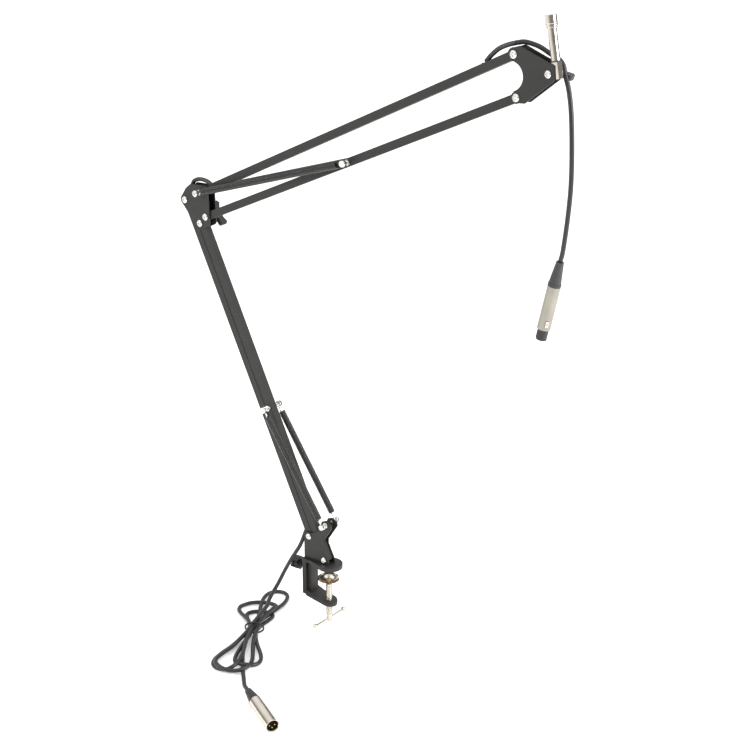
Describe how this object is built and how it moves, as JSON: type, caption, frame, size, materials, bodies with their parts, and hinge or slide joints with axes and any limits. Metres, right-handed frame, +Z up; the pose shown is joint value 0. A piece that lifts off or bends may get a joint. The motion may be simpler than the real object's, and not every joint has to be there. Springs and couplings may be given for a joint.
{
  "type": "microphone boom arm",
  "caption": "Spring-balanced desk boom arm for a studio microphone, with a screw clamp, swivel base, tilting threaded post and a built-in audio lead.",
  "frame": {"origin": "on the underside of the clamp's top jaw, on the clamp screw's axis", "axes": "+Z up along the clamp screw, +X the way the arm reaches, Y along the arm's pivots"},
  "size_m": [0.694, 0.3449, 0.9862],
  "materials": {
    "black_paint": "satin black powder coat",
    "cast_black": "satin black paint on a casting",
    "spring_black": "black coated spring wire",
    "zinc": "bright zinc plate",
    "nickel": "satin nickel plate",
    "rivet_brass": "dull brass",
    "contact": "bright brass",
    "black_plastic": "moulded black plastic",
    "black_rubber": "matte black rubber",
    "lead_jacket": "satin black lead jacket"
  },
  "bodies": {
    "clamp": {"clamp_frame": "cast_black", "lead_tail": "lead_jacket", "lead_hank": "lead_jacket", "hank_tie": "black_plastic", "lead_plug_run": "lead_jacket", "xlr_m_boot": "black_rubber", "xlr_m_shell": "nickel", "xlr_m_insert": "black_plastic", "xlr_m_pins": "contact"},
    "lock_screw": {"lock_thumbscrew": "black_plastic"},
    "screw_travel": {"pad_rivet": "rivet_brass"},
    "screw": {"clamp_screw": "nickel"},
    "handle": {"screw_handle": "nickel", "handle_ends": "nickel"},
    "pad": {"pressure_pad": "nickel"},
    "base": {"swivel_spigot": "zinc", "base_bracket": "black_paint", "base_bolts": "zinc", "base_nuts": "zinc", "base_washers": "zinc", "lower_spring_anchors": "zinc"},
    "lower_springs": {"lower_spring_near": "spring_black", "lower_spring_far": "spring_black"},
    "bar_a": {"lower_bar_a": "black_paint", "lead_lower_run": "lead_jacket"},
    "bar_b": {"lower_bar_b": "black_paint", "lower_spring_pin": "zinc"},
    "elbow": {"elbow_plate_near": "black_paint", "elbow_plate_far": "black_paint", "elbow_bolts": "zinc", "elbow_nuts": "zinc", "elbow_stud": "zinc", "elbow_knob_washer": "zinc", "upper_spring_bolt": "zinc", "upper_spring_near": "spring_black", "upper_spring_far": "spring_black", "lead_elbow_loop": "lead_jacket"},
    "elbow_knob": {"elbow_wing_knob": "black_plastic"},
    "top_bar": {"upper_bar_top": "black_paint", "lead_upper_run": "lead_jacket", "lead_bar_exit": "lead_jacket"},
    "bottom_bar": {"upper_bar_bottom": "black_paint", "upper_spring_pin": "zinc"},
    "head": {"head_plate_near": "black_paint", "head_plate_far": "black_paint", "head_bolts": "zinc", "head_nuts": "zinc", "tilt_stud": "zinc", "tilt_washer": "zinc", "lead_head": "lead_jacket", "xlr_f_boot": "black_rubber", "xlr_f_shell": "nickel", "xlr_f_insert": "black_plastic", "xlr_f_contacts": "contact"},
    "head_knob": {"head_wing_knob": "black_plastic"},
    "post": {"tilt_block": "nickel", "mic_post": "nickel", "post_ring": "black_rubber", "thread_adapter": "nickel"},
    "latch": {"xlr_f_latch": "nickel"}
  },
  "joints": [
    {"name": "lock_screw_turn", "type": "hinge", "parent": "clamp", "child": "lock_screw", "pos_m": [-0.06, 0, -0.012], "axis": [-1, 0, 0], "range_deg": [0, 360]},
    {"name": "clamp_travel", "type": "slide", "parent": "clamp", "child": "screw_travel", "axis": [0, 0, 1], "range_m": [-0.014, 0.006]},
    {"name": "clamp_screw_turn", "type": "hinge", "parent": "screw_travel", "child": "screw", "pos_m": [0, 0, -0.05], "axis": [0, 0, 1], "range_deg": [-3361, 1441]},
    {"name": "handle_slide", "type": "slide", "parent": "screw", "child": "handle", "axis": [0, 1, 0], "range_m": [-0.026, 0.026]},
    {"name": "pad_swivel", "type": "hinge", "parent": "screw_travel", "child": "pad", "pos_m": [0, 0, -0.022], "axis": [0.7976, 0.6032, 0], "range_deg": [0, 110]},
    {"name": "base_swivel", "type": "hinge", "parent": "clamp", "child": "base", "pos_m": [-0.0375, 0, 0], "axis": [0, 0, 1], "range_deg": [-110, 110], "deforming": ["lead_tail"]},
    {"name": "lower_arm", "type": "hinge", "parent": "base", "child": "bar_a", "pos_m": [-0.033, 0, 0.046], "axis": [0, 1, 0], "range_deg": [-1, 65]},
    {"name": "lower_arm_second_bar", "type": "hinge", "parent": "base", "child": "bar_b", "pos_m": [-0.0029, 0, 0.0127], "axis": [0, 1, 0], "range_deg": [-1, 65]},
    {"name": "lower_spring_swing", "type": "hinge", "parent": "base", "child": "lower_springs", "pos_m": [0.002, 0, 0.076], "axis": [0, 1, 0], "range_deg": [-1.3, 84.2], "deforming": ["lower_spring_near", "lower_spring_far"]},
    {"name": "elbow_level", "type": "hinge", "parent": "bar_a", "child": "elbow", "pos_m": [-0.2738, 0, 0.5588], "axis": [0, 1, 0], "range_deg": [-65, 1]},
    {"name": "elbow_knob_turn", "type": "hinge", "parent": "elbow", "child": "elbow_knob", "pos_m": [-0.2313, 0, 0.5374], "axis": [0, -1, 0], "range_deg": [0, 360]},
    {"name": "upper_arm", "type": "hinge", "parent": "elbow", "child": "bottom_bar", "pos_m": [-0.2313, 0, 0.5374], "axis": [0, 1, 0], "range_deg": [-35, 30], "deforming": ["upper_spring_near", "upper_spring_far"]},
    {"name": "upper_arm_top_bar", "type": "hinge", "parent": "elbow", "child": "top_bar", "pos_m": [-0.2405, 0, 0.5752], "axis": [0, 1, 0], "range_deg": [-35, 30], "deforming": ["lead_elbow_loop", "lead_bar_exit"]},
    {"name": "head_level", "type": "hinge", "parent": "bottom_bar", "child": "head", "pos_m": [0.3262, 0, 0.7804], "axis": [0, 1, 0], "range_deg": [-23, 27]},
    {"name": "head_knob_turn", "type": "hinge", "parent": "head", "child": "head_knob", "pos_m": [0.3725, 0, 0.8146], "axis": [0, -1, 0], "range_deg": [0, 360]},
    {"name": "head_tilt", "type": "hinge", "parent": "head", "child": "post", "pos_m": [0.3725, 0, 0.8146], "axis": [0, 1, 0], "range_deg": [-25, 95], "deforming": ["lead_head"]},
    {"name": "latch_press", "type": "slide", "parent": "head", "child": "latch", "axis": [-0.6909, 0.7071, 0.1506], "range_m": [0, 0.0012], "stiffness_N_per_m": 800}
  ],
  "couplings": [
    {"joint": "clamp_screw_turn", "follows": "clamp_travel", "rad_per_m": 4188.8},
    {"joint": "lower_arm_second_bar", "follows": "lower_arm", "ratio": 1},
    {"joint": "lower_spring_swing", "follows": "lower_arm", "ratio": 1.295},
    {"joint": "elbow_level", "follows": "lower_arm", "ratio": -1},
    {"joint": "upper_arm_top_bar", "follows": "upper_arm", "ratio": 0.99},
    {"joint": "head_level", "follows": "upper_arm", "ratio": -0.75}
  ]
}
